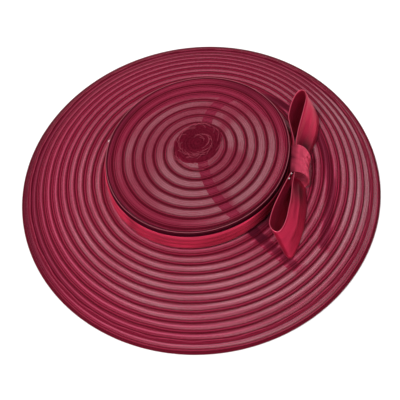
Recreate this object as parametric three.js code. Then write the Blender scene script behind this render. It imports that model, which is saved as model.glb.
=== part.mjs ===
// A wide-brim fascinator hat sewn from a spiral of translucent braid, with a satin ribbon
// round its low crown, a satin bow at the side and a satin-covered headband underneath.
// It rests on the edge of its brim. Millimetres, +Z up. The origin is in the plane of the
// brim's edge, below the middle of the brim. +X is the bow's side and -Y is the front.

import * as THREE from "three";
import { mergeVertices } from "three/addons/utils/BufferGeometryUtils.js";

const degrees = Math.PI / 180;

// Brim: a round plate that droops more and more towards its edge
const brimRadius = 165;
const brimInnerSlope = 4 * degrees;
const brimOuterSlope = 38 * degrees;
const brimWall = 1.2;

// Braid: each row ramps up and steps down where the next row is sewn under it
const braidPitch = 8.4;
const braidRise = 0.5;
const braidStep = 0.6;
const braidEdgeShare = 0.29;

// Brim edge: a rolled casing with a wire inside, flat where it rests
const edgeWidth = 3;
const edgeHeight = 2.8;
const edgeFlat = 1.8;

// Crown: low and flat-topped, slightly oval, a little wider at its top than at its base
const crownBaseRadius = 80.2;
const crownTopRadius = 80.9;
const crownHeight = 27.2;
const crownWall = 1.5;
const crownDome = 2.4;
const ovalStretch = 1.037;
const ovalTurn = 40 * degrees;
const crownShift = new THREE.Vector2(1.8, -0.2);
const crownSeat = 2;
const crownWire = 2;

// Crown tip: its braid starts off the middle, in a small oval button
const tipWall = 1.2;
const tipPitch = 9;
const tipButton = 7;
const spiralShift = new THREE.Vector2(1, 3.5);

// Ribbon round the crown
const ribbonWidth = 20;
const ribbonWall = 0.8;
const ribbonRelief = 1.3;

// Bow
const bowAngle = -10.5 * degrees;
const bowWall = 1;
const bowHeight = 59;
const knotLength = 28;
const knotCentre = -1.5;
const knotDepth = 14.5;
const backLoopLength = 60;
const frontLoopLength = 59;
const loopDepth = 20;

// Headband: a flat horseshoe under the hat
const headbandWidth = 9.5;
const headbandWall = 2;
const headbandAcross = 111;
const headbandAlong = 179;
const headbandCorner = new THREE.Vector2(6, -102);

// Fits
const gap = 0.3;
const layGap = 0.45;

// Facets
const around = 56;
const brimUnderSteps = 6;
const headbandSteps = 54;
const loopSteps = 30;

// Brim edge's section, as shares of its width out from its middle and of its height
const edgeOutline = [
  { out: 0.5, up: 0.3 },
  { out: 0.5, up: 0.7 },
  { out: 0.3, up: 1.0 },
  { out: -0.3, up: 1.0 },
  { out: -0.5, up: 0.7 },
  { out: -0.5, up: 0.3 },
];

// Crown tip's underside: rings at these shares of its radius
const tipUnderShares = [1, 0.7, 0.35, 0];

// Headband's section, as shares of half its width and of its thickness
const headbandOutline = [
  { across: -1, down: 0.35 },
  { across: -0.6, down: 0 },
  { across: 0.6, down: 0 },
  { across: 1, down: 0.35 },
  { across: 0.6, down: 1 },
  { across: -0.6, down: 1 },
];

// Ribbon's section from its foot to its top: lengthwise folds that stand proud
const ribbonFolds = [
  { up: 0.0, proud: 0.15 },
  { up: 0.2, proud: 0.8 },
  { up: 0.42, proud: 0.3 },
  { up: 0.6, proud: 1.0 },
  { up: 0.86, proud: 0.7 },
  { up: 1.0, proud: 0.15 },
];

// Back loop, from its near end round to its far end. along is a share of the loop's length
// from the knot; crest and foot are how far out its upper and lower edges lie, as shares of
// the loop's depth; footAlong is where the lower edge is, as a share of the length.
const backLoopRows = [
  { along: 0.0, crest: 0.07, footAlong: 0.0, foot: 0.1 },
  { along: 0.1, crest: 0.02, footAlong: 0.1, foot: 0.08 },
  { along: 0.3, crest: -0.14, footAlong: 0.3, foot: 0.1 },
  { along: 0.48, crest: -0.2, footAlong: 0.48, foot: 0.16 },
  { along: 0.66, crest: -0.13, footAlong: 0.66, foot: 0.3 },
  { along: 0.84, crest: 0.02, footAlong: 0.82, foot: 0.5 },
  { along: 0.95, crest: 0.2, footAlong: 0.93, foot: 0.72 },
  { along: 1.0, crest: 0.42, footAlong: 0.98, foot: 0.92 },
  { along: 0.96, crest: 0.64, footAlong: 0.93, foot: 1.08 },
  { along: 0.84, crest: 0.7, footAlong: 0.8, foot: 1.17 },
  { along: 0.68, crest: 0.63, footAlong: 0.64, foot: 1.18 },
  { along: 0.46, crest: 0.5, footAlong: 0.46, foot: 1.14 },
  { along: 0.28, crest: 0.38, footAlong: 0.28, foot: 1.02 },
  { along: 0.1, crest: 0.34, footAlong: 0.1, foot: 0.85 },
  { along: 0.0, crest: 0.32, footAlong: 0.0, foot: 0.7 },
];

// Front loop, by the same columns
const frontLoopRows = [
  { along: 0.0, crest: 0.0, footAlong: 0.0, foot: 0.2 },
  { along: 0.08, crest: -0.1, footAlong: 0.1, foot: 0.14 },
  { along: 0.24, crest: -0.33, footAlong: 0.28, foot: 0.02 },
  { along: 0.42, crest: -0.5, footAlong: 0.46, foot: -0.12 },
  { along: 0.6, crest: -0.68, footAlong: 0.64, foot: -0.26 },
  { along: 0.77, crest: -0.79, footAlong: 0.84, foot: -0.34 },
  { along: 0.88, crest: -0.81, footAlong: 1.0, foot: -0.28 },
  { along: 0.97, crest: -0.68, footAlong: 1.1, foot: -0.1 },
  { along: 1.0, crest: -0.45, footAlong: 1.14, foot: 0.12 },
  { along: 0.93, crest: -0.27, footAlong: 1.02, foot: 0.34 },
  { along: 0.79, crest: -0.14, footAlong: 0.8, foot: 0.54 },
  { along: 0.63, crest: -0.05, footAlong: 0.6, foot: 0.66 },
  { along: 0.43, crest: 0.03, footAlong: 0.36, foot: 0.72 },
  { along: 0.2, crest: 0.12, footAlong: 0.17, foot: 0.7 },
  { along: 0.0, crest: 0.28, footAlong: 0.0, foot: 0.66 },
];

// Headband's middle line, as shares of its size across the hat and along it
const headbandRows = [
  { across: 0.59, along: 0.0 },
  { across: 0.38, along: 0.13 },
  { across: 0.23, along: 0.255 },
  { across: 0.11, along: 0.36 },
  { across: 0.035, along: 0.46 },
  { across: 0.0, along: 0.57 },
  { across: 0.005, along: 0.7 },
  { across: 0.05, along: 0.82 },
  { across: 0.14, along: 0.93 },
  { across: 0.31, along: 0.995 },
  { across: 0.5, along: 0.99 },
  { across: 0.72, along: 0.905 },
  { across: 0.85, along: 0.82 },
  { across: 0.95, along: 0.72 },
  { across: 0.995, along: 0.59 },
  { across: 0.995, along: 0.42 },
  { across: 0.915, along: 0.21 },
  { across: 0.847, along: 0.1 },
];

// Brim's middle surface: its slope grows evenly with the distance s from the crown
const brimTurn = brimOuterSlope - brimInnerSlope;
const brimEndRadius = brimRadius - edgeWidth / 2;
const brimSlopeSpan = Math.sin(brimOuterSlope) - Math.sin(brimInnerSlope);
const brimLength = ((brimEndRadius - crownBaseRadius) * brimTurn) / brimSlopeSpan;
const brimBend = brimTurn / brimLength;
const brimDrop = (Math.cos(brimInnerSlope) - Math.cos(brimOuterSlope)) / brimBend;
const brimTop = edgeHeight / 2 + brimDrop;

// The brim takes the crown's oval at its base and loses it quickly
function ovalShare(s) {
  return THREE.MathUtils.clamp(1 - s / brimLength, 0, 1) ** 2;
}

function brimStation(s, lift) {
  const slope = brimInnerSlope + brimBend * s;
  const run = (Math.sin(slope) - Math.sin(brimInnerSlope)) / brimBend;
  const fall = (Math.cos(brimInnerSlope) - Math.cos(slope)) / brimBend;
  const radius = crownBaseRadius + run + lift * Math.sin(slope);
  const height = brimTop - fall + lift * Math.cos(slope);
  return { radius, height, share: ovalShare(s) };
}

// How far from the crown the brim's middle surface has a given mean radius
function brimDistance(radius) {
  const sine = Math.sin(brimInnerSlope) + brimBend * (radius - crownBaseRadius);
  return (Math.asin(sine) - brimInnerSlope) / brimBend;
}

// A point of a ring that is oval by its share of the crown's oval, and shifted with it
function ringPoint(turn, station) {
  const { radius, height, share = 1, lean = 0 } = station;
  const stretch = 1 + (ovalStretch - 1) * share;
  const long = radius * stretch * Math.cos(turn);
  const short = (radius / stretch) * Math.sin(turn);
  const x = long * Math.cos(ovalTurn) - short * Math.sin(ovalTurn);
  const y = long * Math.sin(ovalTurn) + short * Math.cos(ovalTurn);
  const centreX = crownShift.x * share + spiralShift.x * lean;
  const centreY = crownShift.y * share + spiralShift.y * lean;
  return new THREE.Vector3(x + centreX, y + centreY, height);
}

// The turn at which a ring with the crown's full oval lies in a given direction
function turnTowards(angle) {
  const fromLongAxis = angle - ovalTurn;
  return Math.atan2(Math.sin(fromLongAxis) * ovalStretch, Math.cos(fromLongAxis) / ovalStretch);
}

// Mean radius of the ring with a given share of the crown's oval that runs over a point
function ringRadius(x, y, share) {
  const stretch = 1 + (ovalStretch - 1) * share;
  const fromX = x - crownShift.x * share;
  const fromY = y - crownShift.y * share;
  const long = fromX * Math.cos(ovalTurn) + fromY * Math.sin(ovalTurn);
  const short = fromY * Math.cos(ovalTurn) - fromX * Math.sin(ovalTurn);
  return Math.hypot(long / stretch, short * stretch);
}

// Height of the brim's middle surface, and its slope, above a point of the floor
function brimUnder(x, y) {
  let s = 0;
  for (let pass = 0; pass < 4; pass += 1) {
    const radius = ringRadius(x, y, ovalShare(s));
    s = brimDistance(THREE.MathUtils.clamp(radius, crownBaseRadius, brimEndRadius));
  }
  const slope = brimInnerSlope + brimBend * s;
  return { height: brimStation(s, 0).height, slope };
}

// A solid through sections that hold the same number of points each
function loft(sections, closed) {
  const count = sections[0].length;
  const positions = sections.flat().flatMap((point) => [point.x, point.y, point.z]);
  const index = [];
  const spans = closed ? sections.length : sections.length - 1;
  for (let i = 0; i < spans; i += 1) {
    const here = i * count;
    const next = ((i + 1) % sections.length) * count;
    for (let j = 0; j < count; j += 1) {
      const k = (j + 1) % count;
      index.push(here + j, next + j, next + k, here + j, next + k, here + k);
    }
  }
  if (!closed) {
    const last = (sections.length - 1) * count;
    for (let j = 1; j < count - 1; j += 1) {
      index.push(0, j, j + 1, last, last + j + 1, last + j);
    }
  }
  return closedGeometry(positions, index);
}

// Merges equal points, drops triangles without area and turns the faces outwards
function closedGeometry(positions, index) {
  const raw = new THREE.BufferGeometry();
  raw.setAttribute("position", new THREE.Float32BufferAttribute(positions, 3));
  raw.setIndex(index);
  const merged = mergeVertices(raw, 1e-4);
  const place = merged.getAttribute("position");
  const corners = merged.getIndex().array;
  const kept = [];
  let volume = 0;
  const [a, b, c] = [new THREE.Vector3(), new THREE.Vector3(), new THREE.Vector3()];
  for (let i = 0; i < corners.length; i += 3) {
    const [p, q, r] = [corners[i], corners[i + 1], corners[i + 2]];
    if (p === q || q === r || r === p) continue;
    kept.push(p, q, r);
    a.fromBufferAttribute(place, p);
    b.fromBufferAttribute(place, q);
    c.fromBufferAttribute(place, r);
    volume += a.dot(b.cross(c));
  }
  merged.setIndex(volume < 0 ? kept.reverse() : kept);
  merged.computeVertexNormals();
  return merged;
}

// A ring, or a disc where the section starts and ends on the axis
function sweepRing(section) {
  const sections = [];
  for (let i = 0; i < around; i += 1) {
    const turn = (2 * Math.PI * i) / around;
    sections.push(section.map((station) => ringPoint(turn, station)));
  }
  return loft(sections, true);
}

// Brim: braid rows on top, smooth underneath
function brimGeometry() {
  const start = -crownSeat;
  const end = brimLength - (edgeWidth / 2 + gap) / Math.cos(brimOuterSlope);
  const half = brimWall / 2;
  const section = [brimStation(start, half)];
  const rows = Math.floor(brimLength / braidPitch - braidEdgeShare);
  for (let row = rows; row >= 0; row -= 1) {
    const seam = brimLength - (row + braidEdgeShare) * braidPitch;
    const onBrim = seam > braidStep && seam < end - braidStep;
    if (!onBrim) continue;
    section.push(brimStation(seam - braidStep / 2, half + braidRise));
    section.push(brimStation(seam + braidStep / 2, half));
  }
  section.push(brimStation(end, half));
  for (let step = brimUnderSteps; step >= 0; step -= 1) {
    section.push(brimStation(start + ((end - start) * step) / brimUnderSteps, -half));
  }
  return sweepRing(section);
}

// Brim edge: the rolled casing, its flat foot on the floor
function brimEdgeGeometry() {
  const middle = brimRadius - edgeWidth / 2;
  const station = (out, height) => ({ radius: middle + out, height, share: 0 });
  const rolled = edgeOutline.map(({ out, up }) => station(out * edgeWidth, up * edgeHeight));
  return sweepRing([station(-edgeFlat / 2, 0), station(edgeFlat / 2, 0), ...rolled]);
}

// Crown heights
const brimSurface = brimTop + brimWall / 2 / Math.cos(brimInnerSlope);
const wallFoot = brimSurface + gap;
const crownTop = brimSurface + crownHeight;
const wallTop = crownTop - crownWire - gap;
const wallTopRadius = crownTopRadius - gap;
const ribbonTop = wallFoot + ribbonWidth;

// Outside of the crown's wall, which flares evenly from its foot to its top
function wallRadius(height) {
  const share = (height - wallFoot) / (wallTop - wallFoot);
  return THREE.MathUtils.lerp(crownBaseRadius, wallTopRadius, share);
}

// Crown side: one braid row shows as a step above the ribbon
function crownSideGeometry() {
  const stepFoot = ribbonTop + gap;
  const stepTop = stepFoot + braidStep;
  const outside = [
    { radius: crownBaseRadius - braidRise, height: wallFoot },
    { radius: wallRadius(stepFoot) - braidRise, height: stepFoot },
    { radius: wallRadius(stepTop), height: stepTop },
    { radius: wallTopRadius, height: wallTop },
  ];
  const inside = [
    { radius: wallTopRadius - crownWall, height: wallTop },
    { radius: crownBaseRadius - crownWall, height: wallFoot },
  ];
  return sweepRing([...outside, ...inside]);
}

// Crown tip: a disc of braid rows round an off-centre button, slightly domed
function crownTipGeometry() {
  const rim = crownTopRadius - crownWire - gap;
  const station = (radius, lift) => {
    const bulge = crownDome * (1 - (radius / rim) ** 2);
    const height = crownTop - tipWall + lift + bulge;
    return { radius, height, lean: 1 - radius / rim };
  };
  const section = [station(0, tipWall), station(tipButton, tipWall)];
  const rows = Math.floor((rim - tipButton) / tipPitch);
  for (let row = rows; row >= 1; row -= 1) {
    const seam = rim - row * tipPitch + tipPitch / 2;
    section.push(station(seam - braidStep / 2, tipWall + braidRise));
    section.push(station(seam + braidStep / 2, tipWall));
  }
  section.push(station(rim, tipWall));
  section.push(...tipUnderShares.map((share) => station(rim * share, 0)));
  return sweepRing(section);
}

// Crown edge: the wire that keeps the crown's corner crisp
function crownEdgeGeometry() {
  const sides = 6;
  const wireRadius = crownWire / 2;
  const section = [];
  for (let side = 0; side < sides; side += 1) {
    const angle = (2 * Math.PI * side) / sides;
    const radius = crownTopRadius - wireRadius + wireRadius * Math.cos(angle);
    const height = crownTop - wireRadius + wireRadius * Math.sin(angle);
    section.push({ radius, height });
  }
  return sweepRing(section);
}

// Ribbon band: it follows the flare of the wall, with lengthwise folds
function ribbonBandGeometry() {
  const station = (up, out) => {
    const height = wallFoot + gap + up * (ribbonWidth - gap);
    return { radius: wallRadius(height) + out, height };
  };
  const outside = ribbonFolds.map(({ up, proud }) => {
    return station(up, gap + ribbonWall + ribbonRelief * proud);
  });
  return sweepRing([...outside, station(1, gap), station(0, gap)]);
}

// Bow frame: along runs round the crown towards the back, out runs away from it
const bowSeatHeight = Math.min(bowHeight, ribbonTop);
const bowSeatRadius = wallRadius(bowSeatHeight) + gap + ribbonWall + ribbonRelief;
const bowSeat = ringPoint(turnTowards(bowAngle), { radius: bowSeatRadius, height: 0 });
const alongBow = new THREE.Vector3(-Math.sin(bowAngle), Math.cos(bowAngle), 0);
const outOfBow = new THREE.Vector3(Math.cos(bowAngle), Math.sin(bowAngle), 0);

function bowPoint(along, out, height) {
  const place = bowSeat.clone().addScaledVector(alongBow, along).addScaledVector(outOfBow, out);
  return place.setZ(height);
}

// Moves a point of the bow outwards until its satin clears the ribbon band
function clearOfBand(point, height) {
  const radius = ringRadius(point.x, point.y, 1);
  const least = wallRadius(height) + gap + ribbonWall + ribbonRelief + bowWall + layGap;
  if (radius >= least) return point;
  const centre = new THREE.Vector3(crownShift.x, crownShift.y, point.z);
  return point.sub(centre).multiplyScalar(least / radius).add(centre);
}

// Lowest height at which satin lies clear of the brim's braid
function brimRestHeight(point) {
  const { height, slope } = brimUnder(point.x, point.y);
  return height + (brimWall / 2 + braidRise) / Math.cos(slope) + layGap;
}

// A bow loop: a strip of satin that stands on edge, leaves the knot and comes back to it
function bowLoopGeometry(rows, direction, length) {
  const start = knotCentre + direction * (knotLength / 2 + gap);
  const crest = new THREE.CatmullRomCurve3(
    rows.map((row) => {
      const along = start + direction * row.along * length;
      return clearOfBand(bowPoint(along, row.crest * loopDepth, bowHeight), bowHeight);
    }),
  );
  const foot = new THREE.CatmullRomCurve3(
    rows.map((row) => {
      const along = start + direction * row.footAlong * length;
      return clearOfBand(bowPoint(along, row.foot * loopDepth, 0), bowHeight);
    }),
  );
  const sections = [];
  for (let step = 0; step <= loopSteps; step += 1) {
    const u = step / loopSteps;
    const top = crest.getPoint(u);
    const bottom = foot.getPoint(u);
    bottom.setZ(brimRestHeight(bottom));
    const middle = top.clone().lerp(bottom, 0.5);
    const side = (curve) => {
      const tangent = curve.getTangent(u).setZ(0).normalize();
      if (step === 0) tangent.copy(alongBow).multiplyScalar(direction);
      if (step === loopSteps) tangent.copy(alongBow).multiplyScalar(-direction);
      return new THREE.Vector3(tangent.y, -tangent.x, 0).multiplyScalar(bowWall / 2);
    };
    const topSide = side(crest);
    const bottomSide = side(foot);
    const middleSide = topSide.clone().add(bottomSide).multiplyScalar(0.5);
    sections.push([
      top.clone().add(topSide),
      middle.clone().add(middleSide),
      bottom.clone().add(bottomSide),
      bottom.clone().sub(bottomSide),
      middle.clone().sub(middleSide),
      top.clone().sub(topSide),
    ]);
  }
  return loft(sections, false);
}

// Bow knot: the wrap round the middle of the bow, drawn in slightly at its waist
const knotSections = [
  { along: -0.5, swell: 0.97 },
  { along: -0.42, swell: 1.03 },
  { along: -0.15, swell: 0.96 },
  { along: 0.15, swell: 0.95 },
  { along: 0.42, swell: 1.03 },
  { along: 0.5, swell: 0.97 },
];
const knotOutline = [
  { out: 0.05, up: 1.0 },
  { out: 0.55, up: 1.02 },
  { out: 0.88, up: 0.93 },
  { out: 1.0, up: 0.72 },
  { out: 1.03, up: 0.4 },
  { out: 0.97, up: 0.12 },
  { out: 0.82, up: 0.0 },
  { out: 0.05, up: 0.0 },
];

function bowKnotGeometry() {
  const sections = knotSections.map(({ along, swell }) => {
    return knotOutline.map(({ out, up }) => {
      const t = knotCentre + along * knotLength;
      const point = bowPoint(t, gap + out * knotDepth * swell, 0);
      const foot = brimRestHeight(point);
      return point.setZ(foot + up * (bowHeight - foot));
    });
  });
  return loft(sections, false);
}

// Headband: it lies against the underside of the brim and crosses the open crown
function headbandGeometry() {
  const route = new THREE.CatmullRomCurve3(
    headbandRows.map(({ across, along }) => {
      const x = headbandCorner.x + across * headbandAcross;
      const y = headbandCorner.y + along * headbandAlong;
      return new THREE.Vector3(x, y, 0);
    }),
  );
  const sections = [];
  for (let step = 0; step <= headbandSteps; step += 1) {
    const u = step / headbandSteps;
    const middle = route.getPointAt(u);
    const tangent = route.getTangentAt(u);
    const side = new THREE.Vector3(tangent.y, -tangent.x, 0).multiplyScalar(headbandWidth / 2);
    const place = (across, down) => {
      const point = middle.clone().addScaledVector(side, across);
      const { height, slope } = brimUnder(point.x, point.y);
      return point.setZ(height - brimWall / 2 / Math.cos(slope) - layGap - down * headbandWall);
    };
    sections.push(headbandOutline.map(({ across, down }) => place(across, down)));
  }
  return loft(sections, false);
}

const braidColour = new THREE.MeshStandardMaterial({ color: 0x7a1f36, roughness: 0.6 });
const edgeColour = new THREE.MeshStandardMaterial({ color: 0x571628, roughness: 0.6 });
const ribbonColour = new THREE.MeshStandardMaterial({ color: 0xa51f3a, roughness: 0.3 });
const bowColour = new THREE.MeshStandardMaterial({ color: 0xb02340, roughness: 0.28 });
const headbandColour = new THREE.MeshStandardMaterial({ color: 0x6b1529, roughness: 0.4 });

const hat = new THREE.Group();

function add(name, geometry, material) {
  const mesh = new THREE.Mesh(geometry, material.clone());
  mesh.name = name;
  hat.add(mesh);
}

add("brim", brimGeometry(), braidColour);
add("brim_edge", brimEdgeGeometry(), edgeColour);
add("crown_side", crownSideGeometry(), braidColour);
add("crown_tip", crownTipGeometry(), braidColour);
add("crown_edge", crownEdgeGeometry(), edgeColour);
add("ribbon_band", ribbonBandGeometry(), ribbonColour);
add("bow_loop_back", bowLoopGeometry(backLoopRows, 1, backLoopLength), bowColour);
add("bow_loop_front", bowLoopGeometry(frontLoopRows, -1, frontLoopLength), bowColour);
add("bow_knot", bowKnotGeometry(), bowColour);
add("headband", headbandGeometry(), headbandColour);

export default hat;
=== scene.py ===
import math

import bpy
from mathutils import Matrix, Vector
from mathutils.kdtree import KDTree


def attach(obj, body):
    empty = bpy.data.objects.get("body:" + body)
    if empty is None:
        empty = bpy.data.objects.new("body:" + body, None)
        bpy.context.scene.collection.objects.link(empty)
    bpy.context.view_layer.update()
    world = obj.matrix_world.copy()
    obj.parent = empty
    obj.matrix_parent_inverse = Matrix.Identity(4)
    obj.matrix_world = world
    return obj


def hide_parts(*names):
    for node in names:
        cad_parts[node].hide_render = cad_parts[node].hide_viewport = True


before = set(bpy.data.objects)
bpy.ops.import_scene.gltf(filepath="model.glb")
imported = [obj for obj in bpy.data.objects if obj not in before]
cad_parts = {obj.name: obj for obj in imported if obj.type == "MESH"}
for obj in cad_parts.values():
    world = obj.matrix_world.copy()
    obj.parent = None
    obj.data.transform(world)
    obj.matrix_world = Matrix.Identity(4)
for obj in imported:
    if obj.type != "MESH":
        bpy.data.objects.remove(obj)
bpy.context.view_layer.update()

MM = 0.001
DEG = math.pi / 180
TURN = 2 * math.pi
UP = Vector((0, 0, 1))

# Camera, worked out from the brim's outline in the photograph
TILT = 1.0335
ROLL = 0.1199
SHOWN = 165 * MM
DISTANCE = 6.0 * SHOWN
OFFSET = (0.0019 * SHOWN, -0.0658 * SHOWN)
LENS = 96.6

# Shape of the solids, in millimetres, as part.mjs has it
BRIM_RADIUS = 165
INNER_SLOPE = 4 * DEG
OUTER_SLOPE = 38 * DEG
EDGE_WIDTH = 3
EDGE_HEIGHT = 2.8
BASE_RADIUS = 80.2
TOP_RADIUS = 80.9
CROWN_HEIGHT = 27.2
CROWN_DOME = 2.4
OVAL = 1.037
OVAL_TURN = 40 * DEG
CROWN_SHIFT = (1.8, -0.2)
SPIRAL_SHIFT = (1, 3.5)
BRIM_WALL = 1.2
GAP = 0.3
LAY_GAP = 0.45
CROWN_WIRE = 2
RIBBON_WIDTH = 20
RIBBON_WALL = 0.8
RIBBON_RELIEF = 1.3
BRAID_RISE = 0.5

# Braid of the brim: rows by their outer selvedge, as a distance in from the edge.
# The innermost row is tucked under the crown
ROW_PITCH = 8.2
ROW_START = 0.6
ROW_LAP = 2.6
ROW_TUCK = 1.6
STRIP_HALF = 0.16
SELVEDGE = 0.95

# Steps round the hat, and how the rim draws in at the back left: depth and inner radius in mm,
# place and width in degrees
AROUND = 300
EDGE_WAVE = 2.2
EDGE_WAVE_FROM = 110
EDGE_WAVE_AT = 118
EDGE_WAVE_WIDTH = 42

turn_span = OUTER_SLOPE - INNER_SLOPE
end_radius = BRIM_RADIUS - EDGE_WIDTH / 2
brim_length = (end_radius - BASE_RADIUS) * turn_span / (math.sin(OUTER_SLOPE) - math.sin(INNER_SLOPE))
brim_bend = turn_span / brim_length
brim_drop = (math.cos(INNER_SLOPE) - math.cos(OUTER_SLOPE)) / brim_bend
brim_top = EDGE_HEIGHT / 2 + brim_drop
brim_surface = brim_top + BRIM_WALL / 2 / math.cos(INNER_SLOPE)
wall_foot = brim_surface + GAP
crown_top = brim_surface + CROWN_HEIGHT
wall_top = crown_top - CROWN_WIRE - GAP
wall_top_radius = TOP_RADIUS - GAP
ribbon_top = wall_foot + RIBBON_WIDTH
tip_rim = TOP_RADIUS - CROWN_WIRE - GAP


def clamp(x, low=0.0, high=1.0):
    return max(low, min(high, x))


def lerp(a, b, t):
    return a + (b - a) * t


def smooth(a, b, x):
    t = clamp((x - a) / (b - a))
    return t * t * (3 - 2 * t)


def bump(x, centre, width):
    """Rounded bump of height 1"""
    return math.exp(-(((x - centre) / width) ** 2))


def bump_towards(angle, centre, width):
    """Rounded bump of height 1 on one side of the hat, centre and width in degrees"""
    return bump(math.remainder(angle - centre * DEG, TURN), 0, width * DEG)


def lobe(angle, centre, low, high):
    """1 on one side of the hat and 0 away from it, centre in degrees"""
    return smooth(low, high, 0.5 + 0.5 * math.cos(angle - centre * DEG))


def even(length, count):
    """Even steps from 0 to the length, with both ends"""
    return [length * i / count for i in range(count + 1)]


full_turn = even(TURN, AROUND)
ring_turns = full_turn[:-1]


def ovalness(s):
    """1 at the crown's foot, 0 at the brim's edge, which is round"""
    return clamp(1 - s / brim_length) ** 2


def station(s, lift):
    """Radius, height and ovalness at s mm along the brim's slope, lifted off its middle surface"""
    slope = INNER_SLOPE + brim_bend * s
    run = (math.sin(slope) - math.sin(INNER_SLOPE)) / brim_bend
    fall = (math.cos(INNER_SLOPE) - math.cos(slope)) / brim_bend
    radius = BASE_RADIUS + run + lift * math.sin(slope)
    height = brim_top - fall + lift * math.cos(slope)
    return radius, height, ovalness(s)


def ring_point(turn, radius, height, share=1.0, lean=0.0):
    """Point of a ring; share is how oval it is, lean how far it leans to the middle of the tip"""
    stretch = 1 + (OVAL - 1) * share
    draw = EDGE_WAVE * bump_towards(turn + OVAL_TURN, EDGE_WAVE_AT, EDGE_WAVE_WIDTH)
    radius -= draw * smooth(EDGE_WAVE_FROM, BRIM_RADIUS, radius)
    long = radius * stretch * math.cos(turn)
    short = radius / stretch * math.sin(turn)
    x = long * math.cos(OVAL_TURN) - short * math.sin(OVAL_TURN)
    y = long * math.sin(OVAL_TURN) + short * math.cos(OVAL_TURN)
    x += CROWN_SHIFT[0] * share + SPIRAL_SHIFT[0] * lean
    y += CROWN_SHIFT[1] * share + SPIRAL_SHIFT[1] * lean
    return Vector((x, y, height))


def turn_towards(angle):
    """Turn of ring_point whose point lies at this angle"""
    off = angle - OVAL_TURN
    return math.atan2(math.sin(off) * OVAL, math.cos(off) / OVAL)


def ring_radius(x, y, share):
    """Radius of the ring through a point, the reverse of ring_point"""
    stretch = 1 + (OVAL - 1) * share
    dx = x - CROWN_SHIFT[0] * share
    dy = y - CROWN_SHIFT[1] * share
    long = dx * math.cos(OVAL_TURN) + dy * math.sin(OVAL_TURN)
    short = dy * math.cos(OVAL_TURN) - dx * math.sin(OVAL_TURN)
    return math.hypot(long / stretch, short * stretch)


def brim_under(x, y):
    """Height and slope of the brim's middle surface"""
    s = 0.0
    for _ in range(4):
        radius = clamp(ring_radius(x, y, ovalness(s)), BASE_RADIUS, end_radius)
        sine = math.sin(INNER_SLOPE) + brim_bend * (radius - BASE_RADIUS)
        s = (math.asin(sine) - INNER_SLOPE) / brim_bend
    return station(s, 0)[1], INNER_SLOPE + brim_bend * s


def wall_radius(height):
    return lerp(BASE_RADIUS, wall_top_radius, (height - wall_foot) / (wall_top - wall_foot))


def spline_at(values, t):
    """Smooth curve through evenly spaced values, t from 0 to 1"""
    spans = len(values) - 1
    x = clamp(t) * spans
    i = min(int(x), spans - 1)
    u = x - i
    p = [values[max(0, min(spans, i + k))] for k in (-1, 0, 1, 2)]
    return 0.5 * (
        2 * p[1]
        + (p[2] - p[0]) * u
        + (2 * p[0] - 5 * p[1] + 4 * p[2] - p[3]) * u * u
        + (3 * p[1] - p[0] - 3 * p[2] + p[3]) * u * u * u
    )


def curve_through(points, steps):
    axes = [[p[axis] for p in points] for axis in range(3)]
    return [Vector([spline_at(values, t) for values in axes]) for t in even(1, steps)]


def lengths_along(path):
    """Distance from the start of a path to each of its points"""
    along = [0.0]
    for a, b in zip(path, path[1:]):
        along.append(along[-1] + (b - a).length)
    return along


def mesh_object(name, points, faces, marks=None):
    """points in millimetres; marks holds one (x, y, z) for each corner of each face, x and y in metres"""
    mesh = bpy.data.meshes.new(name)
    mesh.from_pydata([tuple(p * MM) for p in points], [], faces)
    if marks:
        layer = mesh.attributes.new("weave", "FLOAT_VECTOR", "CORNER")
        layer.data.foreach_set("vector", [x for mark in marks for x in mark])
    mesh.polygons.foreach_set("use_smooth", [True] * len(mesh.polygons))
    mesh.update()
    obj = bpy.data.objects.new(name, mesh)
    bpy.context.scene.collection.objects.link(obj)
    return obj


class Shell:
    """Gathers lofted strips and tubes into one mesh. Each section is a closed loop of points."""

    def __init__(self):
        self.points = []
        self.faces = []
        self.marks = []

    def loft(self, sections, along, across, ring, mark=0.0):
        """mark is a number, one number for each section, or a function of the section and the place in it"""
        base = len(self.points)
        count = len(sections[0])
        end = len(sections) - 1
        for section in sections:
            self.points.extend(section)

        def add_mark(at, side):
            if callable(mark):
                third = mark(at, side)
            elif isinstance(mark, list):
                third = mark[at]
            else:
                third = mark
            self.marks.append((along[at] * MM, across[side] * MM, third))

        for i in range(end + 1 if ring else end):
            here = base + i * count
            after = base + (i + 1) % len(sections) * count
            for j in range(count):
                k = (j + 1) % count
                self.faces.append((here + j, after + j, after + k, here + k))
                for at, side in ((i, j), (i + 1, j), (i + 1, k), (i, k)):
                    add_mark(at, side)
        if not ring:
            last = base + end * count
            self.faces.append(tuple(base + j for j in reversed(range(count))))
            self.faces.append(tuple(last + j for j in range(count)))
            for j in reversed(range(count)):
                add_mark(0, j)
            for j in range(count):
                add_mark(end, j)

    def finish(self, name):
        """Make the object, with its faces outwards"""
        obj = mesh_object(name, self.points, self.faces, self.marks)
        mesh = obj.data
        volume = 0.0
        for poly in mesh.polygons:
            a = mesh.vertices[poly.vertices[0]].co
            for i in range(1, len(poly.vertices) - 1):
                b = mesh.vertices[poly.vertices[i]].co
                c = mesh.vertices[poly.vertices[i + 1]].co
                volume += a.dot(b.cross(c))
        if volume < 0:
            mesh.flip_normals()
        return obj


def round_section(p, tangent, radius_across, radius_up, sides):
    side = tangent.cross(UP).normalized()
    lift = side.cross(tangent).normalized()
    loop = []
    for j in range(sides):
        angle = TURN * j / sides
        loop.append(p + side * radius_across * math.cos(angle) + lift * radius_up * math.sin(angle))
    return loop


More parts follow.
